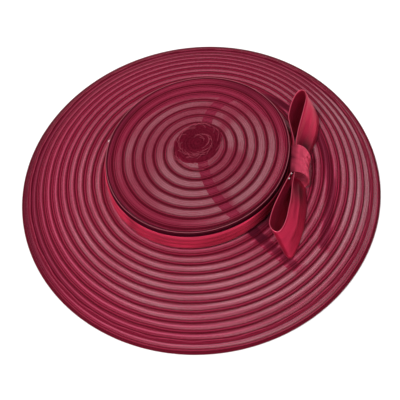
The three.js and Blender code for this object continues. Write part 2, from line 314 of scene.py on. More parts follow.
def ring_tube(name, path, radius_across, radius_up, sides):
    sections = []
    for i, p in enumerate(path):
        tangent = (path[(i + 1) % len(path)] - path[i - 1]).normalized()
        sections.append(round_section(p, tangent, radius_across, radius_up, sides))
    perimeter = math.pi * (radius_across + radius_up)
    shell = Shell()
    shell.loft(sections, lengths_along(path + path[:1]), even(perimeter, sides), True)
    return shell.finish(name)


def add_thread(shell, path, radius, sides=5):
    sections = []
    for i, p in enumerate(path):
        tangent = (path[min(i + 1, len(path) - 1)] - path[max(i - 1, 0)]).normalized()
        sections.append(round_section(p, tangent, radius, radius, sides))
    shell.loft(sections, lengths_along(path), even(radius * sides, sides), False)


def strip_section(width):
    """Outline of a braid strip as (across, up): its upper side, then back along the lower, corded edges"""
    cord = SELVEDGE
    upper = [(0.0, 0.06), (cord * 0.22, 0.3), (cord * 0.6, 0.36), (cord, 0.22)]
    for across in (cord * 1.25, width * 0.28, width * 0.5, width * 0.72, width - cord * 1.25):
        upper.append((across, STRIP_HALF))
    upper += [(width - cord, 0.22), (width - cord * 0.6, 0.36), (width - cord * 0.22, 0.3), (width, 0.06)]
    return upper + [(across, -up) for across, up in reversed(upper)]


def pucker(theta, seed):
    """Small unevenness along a row, the same each run"""
    total = 0.0
    for k, (waves, size) in enumerate(((7, 0.5), (13, 0.3), (29, 0.25), (47, 0.15))):
        total += size * math.sin(waves * theta + seed * (1.7 + 0.9 * k) + k)
    return total


# Headband: the corner and size of the rectangle round its route, and the route as shares of it
HEADBAND_WIDTH = 9.5
HEADBAND_WALL = 2
HEADBAND_GIRTH = 2.3 * HEADBAND_WIDTH
HEADBAND_ACROSS = 111
HEADBAND_ALONG = 179
HEADBAND_CORNER = (6, -102)
HEADBAND_ROWS = (
    (0.59, 0.0), (0.38, 0.13), (0.23, 0.255), (0.11, 0.36), (0.035, 0.46), (0.0, 0.57), (0.005, 0.7),
    (0.05, 0.82), (0.14, 0.93), (0.31, 0.995), (0.5, 0.99), (0.72, 0.905), (0.85, 0.82), (0.95, 0.72),
    (0.995, 0.59), (0.995, 0.42), (0.915, 0.21), (0.847, 0.1),
)
HEADBAND_STEPS = 260


def headband_path():
    route = []
    for a, b in HEADBAND_ROWS:
        route.append((HEADBAND_CORNER[0] + a * HEADBAND_ACROSS, HEADBAND_CORNER[1] + b * HEADBAND_ALONG, 0))
    return curve_through(route, HEADBAND_STEPS)


band_tree = KDTree(HEADBAND_STEPS + 1)
for band_index, band_place in enumerate(headband_path()):
    band_tree.insert(band_place, band_index)
band_tree.balance()


def over_headband(p):
    """1 where the headband lies under the braid and keeps the light of the floor from it"""
    off = band_tree.find((p.x, p.y, 0))[2]
    return 1 - smooth(HEADBAND_WIDTH / 2 - 1.5, HEADBAND_WIDTH / 2 + 1, off)


# Third mark of a braid: how much darker it is made, for closer weave and for painted shade; above 1 it gets
# darker, below 0 lighter, as a painted highlight.
# By row from the edge in: what all of it has, what is added at the front left, and at the back
ROW_DARKENING = (0.0, 0.1, 0.0, 0.0, 0.0, 0.0, 0.0, 0.0, 0.0, 0.0, 0.35)
ROW_DARKENING_FRONT = (0.5, 0.75, 0.5, 0.2, 0.05, 0.0, 0.0, 0.0, 0.0, 0.0, 0.0)
ROW_DARKENING_BACK = (0.75, 0.8, 0.8, 0.6, 0.4, 0.3, 0.25, 0.25, 0.3, 0.3, 0.3)
# Painted shade on the braid over the headband
HEADBAND_SHADE_MARK = 1.5
FOLD_MARK = 0.9
# Painted shade on the crown's side, seen between its edge and the ribbon
WALL_SHADE_MARK = 1.9

# Inner edge of the brim's casing: its place and lift, and how little of the weave's pattern shows on it
FOLD_START = 7.6
FOLD_WIDTH = 3.6
FOLD_LIFT = 1.75
FOLD_MARK_START = 1.05
FOLD_MARK_SHARE = 0.3


def row_darkening(row, towards):
    back = lobe(towards, 122, 0, 1)
    front = lobe(towards, 194, 0.45, 0.95)
    # Painted highlight on the outer rows at the right: the mark goes below 0 there
    right = lobe(towards, 2, 0.84, 0.99) * (1 - smooth(1, 5, row))
    left = lobe(towards, 178, 0.75, 1.0) * (1 - smooth(0, 3, row))
    # Painted shade on the inner rows where the bow's shadow falls
    painted_bow_shade = smooth(0.75, 0.95, math.cos(towards + 30 * DEG)) if row > 8 else 0
    close = ROW_DARKENING[row] + front * ROW_DARKENING_FRONT[row] + back * ROW_DARKENING_BACK[row]
    return min(close, 1.0) + 1.2 * painted_bow_shade + 0.5 * left - 0.6 * right


def row_mark(row, sections):
    dense = [row_darkening(row, theta + OVAL_TURN) for theta in full_turn]

    # Darkening of the row, with painted shade over the headband
    def mark(at, side):
        return dense[at] + HEADBAND_SHADE_MARK * over_headband(sections[at % AROUND][side])

    return mark


def casing_fold(shell):
    """Inner edge of the casing: the last row is folded back over the wire"""
    outer = brim_length - FOLD_START
    outline = strip_section(FOLD_WIDTH)
    sections = []
    for theta in ring_turns:
        shift = 0.2 * pucker(theta, 91)
        loop = []
        for a, up in outline:
            radius, height, oval = station(outer - a + shift, FOLD_LIFT + up)
            loop.append(ring_point(theta, radius, height, oval))
        sections.append(loop)
    across = [FOLD_MARK_START + a * FOLD_MARK_SHARE for a, _ in outline]
    shell.loft(sections, even(TURN * BRIM_RADIUS, AROUND), across, True, FOLD_MARK)


def brim_rows():
    """Rings of braid from the edge in, each lapping over the one outside it"""
    shell = Shell()
    casing_fold(shell)
    for row in range(len(ROW_DARKENING)):
        outer = brim_length - ROW_START - row * ROW_PITCH
        width = min(ROW_PITCH + ROW_LAP, outer + ROW_TUCK)
        outline = strip_section(width)
        sections = []
        for theta in ring_turns:
            wobble = pucker(theta, row + 1)
            loop = []
            for a, up in outline:
                share = a / width
                lift = lerp(1.0, 0.12, share ** 0.8) + up + 0.12 * wobble * (1 - share)
                radius, height, oval = station(outer - a + 0.22 * wobble, lift)
                loop.append(ring_point(theta, radius, height, oval))
            sections.append(loop)
        along = even(TURN * station(outer, 0)[0], AROUND)
        shell.loft(sections, along, [a for a, _ in outline], True, row_mark(row, sections))
    return shell.finish("brim_braid")


def brim_edge():
    path = [ring_point(theta, BRIM_RADIUS - EDGE_WIDTH / 2, EDGE_HEIGHT / 2, 0) for theta in ring_turns]
    return ring_tube("brim_casing", path, EDGE_WIDTH / 2, EDGE_HEIGHT / 2, 12)


WALL_ROWS = 3
WALL_PITCH = 8.4


def crown_wall():
    """Rows of the crown's side, each lapping over the one below"""
    shell = Shell()
    for row in range(WALL_ROWS):
        top = wall_top - row * WALL_PITCH
        width = top - max(wall_foot, top - WALL_PITCH - ROW_LAP)
        outline = strip_section(width)
        sections = []
        for theta in ring_turns:
            wobble = pucker(theta, 31 + row)
            loop = []
            for a, up in outline:
                height = top - a
                sink = lerp(1.3, 0.45, a / width)
                loop.append(ring_point(theta, wall_radius(height) - sink + up + 0.1 * wobble, height))
            sections.append(loop)
        along = even(TURN * BASE_RADIUS, AROUND)
        shell.loft(sections, along, [a for a, _ in outline], True, WALL_SHADE_MARK)
    return shell.finish("crown_wall_braid")


# Spiral of the crown's tip, its start and end in turns, and the button in its middle
TIP_PITCH = 9.0
TIP_PHASE = 0.869
TIP_WIDTH = TIP_PITCH + 2.2
TIP_SINK = 1.2
TIP_LEAST = 6
TIP_START = 2.35
TIP_END = 10.2
TIP_STEPS = 150
BUTTON_RADIUS = 20.5
BUTTON_SHIFT = Vector((0.5, 5, 0))
BUTTON_PITCH = 2.9
BUTTON_AROUND = 220
BUTTON_RINGS = 46
BUTTON_GIRTH = TURN * 10


def tip_point(theta, radius, lift):
    height = crown_top - TIP_SINK + lift + CROWN_DOME * (1 - (radius / tip_rim) ** 2)
    return ring_point(theta - OVAL_TURN, radius, height, 1, 1 - radius / tip_rim)


def button_point(theta, radius, lift):
    return tip_point(theta, radius, lift) + BUTTON_SHIFT


def tip_darkening(theta, outer):
    rim = 0.7 * smooth(tip_rim - 9, tip_rim + 2, outer) + 0.08 * smooth(tip_rim - 36, tip_rim - 8, outer)
    # Painted shade near the left rim, where the crown's wall and ribbon shade its inside
    left = 1.6 * rim * lobe(theta, 198, 0.35, 0.9)
    back = smooth(tip_rim - 26, tip_rim - 4, outer) * lobe(theta, 85, 0.5, 0.95)
    right = 0.9 * smooth(tip_rim - 3, tip_rim + 3, outer) * lobe(theta, 10, 0.45, 0.9)
    return left + 0.55 * back + right


def tip_spiral():
    outline = strip_section(TIP_WIDTH)
    sections = []
    along = []
    marks = []
    run = 0.0
    for n in range(int(TIP_START * TIP_STEPS), int(TIP_END * TIP_STEPS) + 1):
        turns = n / TIP_STEPS
        theta = TURN * turns
        outer = TIP_PITCH * (turns + TIP_PHASE - 1)
        shift = 0.2 * pucker(theta / 3.3, 5)
        loop = []
        for a, up in outline:
            radius = clamp(outer - a + shift, TIP_LEAST, tip_rim + 0.45 - 0.02 * a)
            loop.append(tip_point(theta, radius, lerp(1.15, 0.35, a / TIP_WIDTH) + up))
        sections.append(loop)
        along.append(run)
        run += TURN * max(outer, 3) / TIP_STEPS
        marks.append(tip_darkening(theta, outer))
    shell = Shell()
    shell.loft(sections, along, [a for a, _ in outline], False, marks)
    return shell.finish("crown_tip_braid")


def coil_lift(theta, radius):
    """Height of the button's crinkled coil"""
    coil = radius / BUTTON_PITCH - theta / TURN
    ridge = 0.5 + 0.5 * math.cos(TURN * coil)
    crinkle = math.sin(23 * theta + 1.7 * math.sin(3 * coil)) * math.sin(2.1 * coil + 2 * math.sin(4 * theta))
    return 1.4 + 0.95 * ridge + 0.55 * crinkle * smooth(1, 6, radius)


def button():
    """Middle of the tip: the braid drawn up into a tight crinkled coil"""
    sections = []
    for theta in even(TURN, BUTTON_AROUND)[:-1]:
        edge = 1 + 0.05 * math.sin(2 * theta + 0.6) + 0.025 * math.sin(5 * theta)
        loop = []
        for share in even(1, BUTTON_RINGS):
            radius = lerp(0.25, BUTTON_RADIUS, share)
            lift = coil_lift(theta, radius) - 1.2 * smooth(0.9, 1, share)
            loop.append(button_point(theta, radius * edge, lift))
        for share in (0.97, 0.5, 0.02):
            loop.append(button_point(theta, BUTTON_RADIUS * share, 0.5))
        sections.append(loop)
    across = even(BUTTON_RADIUS, BUTTON_RINGS) + [BUTTON_RADIUS, BUTTON_RADIUS / 2, 0]
    shell = Shell()
    shell.loft(sections, even(BUTTON_GIRTH, BUTTON_AROUND), across, True)
    return shell.finish("button_braid")


THREAD_STEPS = 12


def button_threads():
    """Loose ends of nylon: short ones that lie over the coil, and some round it at the front left"""
    shell = Shell()
    for n in range(40):
        start = 2.4 * n + 0.8 * math.sin(5 * n)
        middle = 5 + 15.5 * math.sqrt((n * 0.618) % 1)
        sweep = (6 + 9 * ((n * 0.37) % 1)) / middle
        drift = 4.5 * math.sin(1.3 * n)
        path = []
        for t in even(1, THREAD_STEPS):
            radius = clamp(middle + drift * (t - 0.5) + 0.5 * math.sin(6 * t + n), 1, BUTTON_RADIUS)
            path.append(button_point(start + sweep * t, radius, 2.45 + 0.25 * math.sin(3 * t)))
        add_thread(shell, path, 0.15)
    for n in range(9):
        start = (170 + 13 * n) * DEG
        middle = BUTTON_RADIUS + 0.8 + 1.1 * (n % 6)
        sweep = 0.5 + 0.05 * n
        path = []
        for t in even(1, THREAD_STEPS):
            radius = middle + 1.5 * math.sin(2.5 * t + n)
            path.append(button_point(start + sweep * t, radius, 1.75 - 0.35 * math.sin(math.pi * t)))
        add_thread(shell, path, 0.17)
    return shell.finish("button_threads")


def crown_thread():
    """Nylon edge of the last row, made pale as a painted highlight: a fine light line round the crown's
    corner
    """
    path = []
    for theta in ring_turns:
        path.append(ring_point(theta, TOP_RADIUS - 0.75 + 0.12 * pucker(theta, 77), crown_top + 0.05))
    return ring_tube("crown_edge_thread", path, 0.2, 0.2, 6)


def thread_knots():
    """Three small knots of pale thread: one on the left of the crown, two by the bow"""
    shell = Shell()
    knot_front = KNOT_CENTRE - KNOT_LENGTH / 2
    rim = ring_point(turn_towards(163 * DEG), TOP_RADIUS, crown_top - 1.2)
    near = bow_point(knot_front - 1.5, 0.2, BOW_HEIGHT - 0.5)
    far = bow_point(knot_front - 7, -1.5, BOW_HEIGHT + 0.3)
    for n, (place, size) in enumerate(((rim, 1.0), (near, 0.6), (far, 0.5))):
        path = []
        for angle in even(2.2 * TURN, 14):
            coil = Vector((math.cos(angle + n), math.sin(angle + n), 0.35 * math.sin(2 * angle)))
            path.append(place + coil * size)
        add_thread(shell, path, 0.3 * size, 6)
    return shell.finish("thread_knots")


def crown_edge():
    path = []
    for theta in ring_turns:
        path.append(ring_point(theta, TOP_RADIUS - CROWN_WIRE / 2, crown_top - CROWN_WIRE / 2))
    return ring_tube("crown_wire", path, CROWN_WIRE / 2, CROWN_WIRE / 2, 10)


# Folds of the ribbon, from its lower edge up: (place, how proud), both as shares
RIBBON_FOLDS = ((0.0, 0.2), (0.16, 0.95), (0.4, 0.15), (0.58, 1.0), (0.74, 0.55), (0.86, 0.9), (1.0, 0.15))
RIBBON_LIFT = 1.5
RIBBON_CLOTH = 0.45
RIBBON_ROWS = 14


def folds_at(up):
    for (a, x), (b, y) in zip(RIBBON_FOLDS, RIBBON_FOLDS[1:]):
        if up <= b:
            return lerp(x, y, smooth(a, b, up))
    return RIBBON_FOLDS[-1][1]


def ribbon_shade(towards):
    """Painted shade: the bow's shadow beside it, and the crease at the front left; dull in soft patches
    elsewhere
    """
    bow_shadow = smooth(0.82, 0.96, math.cos(towards + 30 * DEG))
    dull = 0.12 + 0.12 * math.sin(3 * towards + 0.5) + 0.08 * math.sin(8 * towards)
    dull += 0.5 * bump_towards(towards, 222, 4.5)
    return clamp(0.75 * bow_shadow + dull)


def ribbon_band():
    """The ribbon round the crown, and its length"""
    ups = even(1, RIBBON_ROWS)
    outline = [(up, RIBBON_CLOTH) for up in ups] + [(up, 0) for up in reversed(ups)]
    sections = []
    for theta in ring_turns:
        drift = 0.06 * math.sin(2 * theta + 1) + 0.03 * math.sin(5 * theta)
        drift += 0.34 * bump_towards(theta + OVAL_TURN, 218, 9)
        loop = []
        for up, thick in outline:
            height = wall_foot + RIBBON_LIFT + up * (RIBBON_WIDTH - GAP)
            out = GAP + RIBBON_RELIEF * folds_at(clamp(up + drift)) + thick
            loop.append(ring_point(theta, wall_radius(height) + out, height))
        sections.append(loop)
    length = TURN * (BASE_RADIUS + 1)
    across = even(RIBBON_WIDTH, RIBBON_ROWS)
    shade = [ribbon_shade(theta + OVAL_TURN) for theta in full_turn]
    shell = Shell()
    shell.loft(sections, even(length, AROUND), across + across[::-1], True, shade)
    return shell.finish("ribbon_satin"), length


# Bow, in millimetres; its angle is measured round the crown
BOW_ANGLE = -10.5 * DEG
BOW_WALL = 1
BOW_HEIGHT = 59
KNOT_LENGTH = 28
KNOT_CENTRE = -1.5
KNOT_DEPTH = 14.5
KNOT_GIRTH = 25
KNOT_STEPS = 40
KNOT_ROUND = 52
BACK_LENGTH = 60
FRONT_LENGTH = 59
LOOP_DEPTH = 20
LOOP_CLOTH = 0.5
LOOP_STEPS = 120
LOOP_DOWNS = 14

# Each loop round from the knot and back to it: crest along and out, foot along and out,
# as shares of the loop's length and depth
BACK_ROWS = (
    (0.0, 0.07, 0.0, 0.1), (0.1, 0.02, 0.1, 0.08), (0.3, -0.15, 0.3, 0.1), (0.48, -0.22, 0.48, 0.16),
    (0.66, -0.17, 0.66, 0.3), (0.83, -0.04, 0.82, 0.5), (0.94, 0.12, 0.93, 0.72), (0.985, 0.3, 0.98, 0.92),
    (0.95, 0.47, 0.93, 1.08), (0.84, 0.52, 0.8, 1.17), (0.68, 0.45, 0.64, 1.18), (0.46, 0.33, 0.46, 1.14),
    (0.28, 0.23, 0.28, 1.02), (0.1, 0.17, 0.1, 0.85), (0.0, 0.16, 0.0, 0.7),
)
FRONT_ROWS = (
    (0.0, 0.0, 0.0, 0.2), (0.08, -0.1, 0.1, 0.14), (0.24, -0.33, 0.28, 0.02), (0.42, -0.5, 0.46, -0.12),
    (0.6, -0.68, 0.64, -0.26), (0.77, -0.79, 0.84, -0.34), (0.88, -0.81, 1.0, -0.28),
    (0.97, -0.68, 1.1, -0.1), (1.0, -0.45, 1.14, 0.12), (0.93, -0.27, 1.02, 0.34), (0.79, -0.14, 0.8, 0.54),
    (0.63, -0.05, 0.6, 0.66), (0.43, 0.04, 0.36, 0.72), (0.2, 0.1, 0.17, 0.7), (0.0, 0.17, 0.0, 0.66),
)

# The knot round from the crown's side, over its top and down outside: (out, up) as shares
KNOT_OUTLINE = (
    (-0.1, 0.91), (-0.03, 0.985), (0.2, 1.0), (0.45, 0.98), (0.7, 0.89), (0.9, 0.72), (1.03, 0.5),
    (1.05, 0.28), (0.98, 0.1), (0.82, 0.0), (0.4, 0.0), (0.05, 0.0), (0.04, 0.4), (0.03, 0.84),
)

band_outside = GAP + RIBBON_WALL + RIBBON_RELIEF
bow_seat_radius = wall_radius(min(BOW_HEIGHT, ribbon_top)) + band_outside
bow_seat = ring_point(turn_towards(BOW_ANGLE), bow_seat_radius, 0)
along_bow = Vector((-math.sin(BOW_ANGLE), math.cos(BOW_ANGLE), 0))
out_of_bow = Vector((math.cos(BOW_ANGLE), math.sin(BOW_ANGLE), 0))


def bow_point(along, out, height):
    p = bow_seat + along_bow * along + out_of_bow * out
    p.z = height
    return p


def clear_of_band(p):
    """The point, moved out of the ribbon if it is inside it"""
    radius = ring_radius(p.x, p.y, 1)
    least = wall_radius(BOW_HEIGHT) + band_outside + BOW_WALL + LAY_GAP
    if radius >= least:
        return p
    centre = Vector((CROWN_SHIFT[0], CROWN_SHIFT[1], p.z))
    return centre + (p - centre) * (least / radius)


def brim_rest(p):
    """Height at which cloth rests on the brim"""
    height, slope = brim_under(p.x, p.y)
    return height + (BRIM_WALL / 2 + BRAID_RISE) / math.cos(slope) + LAY_GAP


def loop_edges(rows, direction, length):
    """Crest and foot of a loop; the foot rests on the brim"""
    start = KNOT_CENTRE + direction * (KNOT_LENGTH / 2 + GAP)
    crest = []
    foot = []
    for crest_along, crest_out, foot_along, foot_out in rows:
        above = bow_point(start + direction * crest_along * length, crest_out * LOOP_DEPTH, BOW_HEIGHT)
        below = bow_point(start + direction * foot_along * length, foot_out * LOOP_DEPTH, 0)
        crest.append(clear_of_band(above))
        foot.append(clear_of_band(below))
    low = curve_through(foot, LOOP_STEPS)
    for p in low:
        p.z = brim_rest(p)
    return curve_through(crest, LOOP_STEPS), low


def loop_relief(u, v, direction):
    """Folds of a loop, out from the crown: u runs round the loop, v from its crest to its foot"""
    gather = smooth(0.5, 0.95, u)
    inner = 1 - smooth(0.0, 0.25, u)
    folds = 1.3 * math.sin(9 * v + 2.2 * direction) + 0.7 * math.sin(17 * v + 1)
    relief = (gather + inner) * folds * smooth(0.0, 0.15, v)
    relief += 0.9 * math.sin(math.pi * v) * math.sin(math.pi * smooth(0.45, 1.0, u))
    if direction < 0:
        relief -= 4.6 * smooth(0.83, 0.985, u) * bump(v, 0.3, 0.2)
        relief += 1.3 * bump(u, 0.72, 0.07) * bump(v, 0.35, 0.3)
    else:
        relief -= 2.4 * smooth(0.86, 0.99, u) * bump(v, 0.35, 0.25)
    return relief


def loop_shade(at, side):
    """Shade inside a loop, on its outer side near the knot, and in the pleat there"""
    u = at / LOOP_STEPS
    v = min(side, 2 * LOOP_DOWNS + 1 - side) / LOOP_DOWNS
    inner = 0.15 * smooth(0.02, 0.15, u) * (1 - smooth(0.4, 0.55, u))
    outer = 0.375 * smooth(0.74, 0.92, u)
    pleat = 0.8 * bump(u, 0.93, 0.065) * bump(v, 0.56, 0.26)
    return inner + outer + pleat


def grid_normals(grid):
    normals = []
    for i, line in enumerate(grid):
        before = grid[max(i - 1, 0)]
        after = grid[min(i + 1, len(grid) - 1)]
        row = []
        for j in range(len(line)):
            du = after[j] - before[j]
            dv = line[min(j + 1, len(line) - 1)] - line[max(j - 1, 0)]
            row.append(du.cross(dv).normalized())
        normals.append(row)
    return normals


def grid_area(grid):
    area = 0.0
    for here, after in zip(grid, grid[1:]):
        for a, b, c, d in zip(here, after, after[1:], here[1:]):
            area += 0.5 * ((b - a).cross(c - a).length + (c - a).cross(d - a).length)
    return area


def bow_loop(name, rows, direction, length):
    """A loop on its edge, with its mean height and its area"""
    top, low = loop_edges(rows, direction, length)
    grid = []
    for i in range(LOOP_STEPS + 1):
        line = []
        for v in even(1, LOOP_DOWNS):
            line.append(top[i].lerp(low[i], v) + out_of_bow * loop_relief(i / LOOP_STEPS, v, direction))
        grid.append(line)
    sections = []
    for line, normals in zip(grid, grid_normals(grid)):
        front = [p + normal * LOOP_CLOTH / 2 for p, normal in zip(line, normals)]
        behind = [p - normal * LOOP_CLOTH / 2 for p, normal in zip(line, normals)]
        sections.append(front + behind[::-1])
    along = lengths_along([a.lerp(b, 0.5) for a, b in zip(top, low)])
    height = sum((a - b).length for a, b in zip(top, low)) / len(top)
    across = even(height, LOOP_DOWNS)
    shell = Shell()
    shell.loft(sections, along, across + across[::-1], False, loop_shade)
    return shell.finish(name), height, grid_area(grid)


def bow_knot():
    outline = curve_through([(out, up, 0) for out, up in KNOT_OUTLINE], KNOT_ROUND)
    sections = []
    for i in range(KNOT_STEPS + 1):
        share = i / KNOT_STEPS - 0.5
        swell = 0.955 + 0.075 * smooth(0.15, 0.42, abs(share)) - 0.06 * smooth(0.42, 0.5, abs(share))
        loop = []
        for k, o in enumerate(outline):
            slant = share + 0.35 * k / KNOT_ROUND
            gather = 0.036 * math.sin(slant * 27) + 0.022 * math.sin(slant * 49 + 1)
            out = GAP + o.x * KNOT_DEPTH * (swell + gather * smooth(0, 0.3, o.x))
            p = bow_point(KNOT_CENTRE + share * KNOT_LENGTH, out, 0)
            foot = brim_rest(p)
            p.z = foot + o.y * (BOW_HEIGHT - foot)
            loop.append(p)
        sections.append(loop)

    def shade(at, side):
        share = at / KNOT_STEPS - 0.5
        o = outline[side]
        by_crown = 0.9 * (1 - smooth(0.06, 0.46, o.x)) * smooth(0.5, 0.8, o.y)
        gather = max(0.0, math.sin(24 * share + 5 * o.x + 1.5 * math.sin(9 * share)))
        return clamp(by_crown * (0.85 + 0.15 * math.sin(13 * share + 1)) + 0.14 * gather * gather)

    around_knot = [KNOT_GIRTH * length for length in lengths_along(outline)]
    shell = Shell()
    shell.loft(sections, even(KNOT_LENGTH, KNOT_STEPS), around_knot, False, shade)
    return shell.finish("bow_knot_satin")


def headband():
    """Flat band with rounded edges, close under the brim"""
    path = headband_path()
    sides = 20
    sections = []
    for i, p in enumerate(path):
        tangent = (path[min(i + 1, HEADBAND_STEPS)] - path[max(i - 1, 0)]).normalized()
        side = Vector((tangent.y, -tangent.x, 0))
        loop = []
        for k in range(sides):
            angle = TURN * k / sides
            c = math.cos(angle)
            s = math.sin(angle)
            q = p + side * math.copysign(abs(c) ** 0.6, c) * HEADBAND_WIDTH / 2
            up = math.copysign(abs(s) ** 0.8, s) * HEADBAND_WALL / 2
            height, slope = brim_under(q.x, q.y)
            q.z = height - BRIM_WALL / 2 / math.cos(slope) - LAY_GAP - HEADBAND_WALL / 2 + up
            loop.append(q)
        sections.append(loop)
    shell = Shell()
    shell.loft(sections, lengths_along(path), even(HEADBAND_GIRTH, sides), False)
    return shell.finish("headband_satin")


def camera():
    up = Vector((0, math.sin(TILT), math.cos(TILT)))
    view = Vector((0, math.cos(TILT), -math.sin(TILT)))
    right = Vector((1, 0, 0))
    x = math.cos(ROLL) * right - math.sin(ROLL) * up
    y = math.sin(ROLL) * right + math.cos(ROLL) * up
    place = -DISTANCE * view + OFFSET[0] * x + OFFSET[1] * y
    data = bpy.data.cameras.new("camera")
    data.lens = LENS
    data.sensor_width = 36
    obj = bpy.data.objects.new("camera", data)
    turn = Matrix((x, y, -view)).transposed().to_4x4()
    obj.matrix_world = Matrix.Translation(place) @ turn
    bpy.context.scene.collection.objects.link(obj)
    bpy.context.scene.camera = obj


def feed(tree, socket, value):
    """Link another socket to this one, or set its value"""
    if hasattr(value, "links"):
        tree.links.new(value, socket)
    else:
        socket.default_value = value


def feed_inputs(tree, made, inputs):
    for name, value in inputs.items():
        feed(tree, made.inputs[name], value)


def node(tree, kind, inputs):
    made = tree.nodes.new(kind)
    feed_inputs(tree, made, inputs)
    return made


def maths(tree, operation, a, b=None, c=None, clamped=False):
    made = tree.nodes.new("ShaderNodeMath")
    made.operation = operation
    made.use_clamp = clamped
    for slot, value in enumerate((a, b, c)):
        if value is not None:
            feed(tree, made.inputs[slot], value)
    return made.outputs[0]


def ramp(tree, value, low, high, start, end):
    """From start to end as the value goes from low to high"""
    made = tree.nodes.new("ShaderNodeMapRange")
    made.interpolation_type = "SMOOTHSTEP"
    limits = {"From Min": low, "From Max": high, "To Min": start, "To Max": end}
    feed_inputs(tree, made, {"Value": value, **limits})
    return made.outputs[0]


def mixed(tree, share, a, b):
    made = tree.nodes.new("ShaderNodeMix")
    made.data_type = "RGBA"
    for slot, value in ((0, share), (6, a), (7, b)):
        feed(tree, made.inputs[slot], value)
    return made.outputs[2]


def wave(tree, place, pitch):
    """Sine with a pitch in millimetres"""
    return maths(tree, "SINE", maths(tree, "MULTIPLY", place, TURN / (pitch * MM)))


def line_at(tree, across, place, core, fade, strength):
    """Line along a strip, by its distance from the selvedge, all in millimetres"""
    off = maths(tree, "ABSOLUTE", maths(tree, "SUBTRACT", across, place * MM))
    return ramp(tree, off, core * MM, fade * MM, strength, 0)


def weave_marks(tree):
    """The mesh's marks: along and across in metres, and how dense or how dark"""
    mark = tree.nodes.new("ShaderNodeAttribute")
    mark.attribute_name = "weave"
    return node(tree, "ShaderNodeSeparateXYZ", {"Vector": mark.outputs["Vector"]}).outputs


def principled(name, colour, roughness, others):
    material = bpy.data.materials.new(name)
    material.use_nodes = True
    shader = material.node_tree.nodes["Principled BSDF"]
    feed_inputs(material.node_tree, shader, {"Base Color": (*colour, 1), "Roughness": roughness, **others})
    return material, shader


# Braid: pitches in millimetres, the colours of its threads, and of its painted shade and highlight
CROSSED_PITCH = 0.62
CROSSED_LEAN = 0.7
STOUT_PITCH = 1.55
STOUT_DRIFT = 37
DASH_PITCH = 2.6
STOUT_COLOUR = (0.5, 0.06, 0.12, 1)
GLINT_COLOUR = (0.72, 0.12, 0.22, 1)
SECOND_CORD_COLOUR = (0.11, 0.003, 0.012, 1)
CLOSE_AND_SHADE_COLOUR = (0.04, 0.001, 0.008, 1)
PAINTED_HIGHLIGHT_COLOUR = (0.62, 0.09, 0.17, 1)
CORD_COLOUR = (0.075, 0.0015, 0.008, 1)
CORD_DASH_COLOUR = (0.17, 0.006, 0.024, 1)

# Satin: pitches in millimetres, and the colour that its shade goes to
THREAD_PITCH = 0.35
WEFT_PITCH = 0.5
SATIN_SHADE = (0.04, 0.001, 0.005, 1)


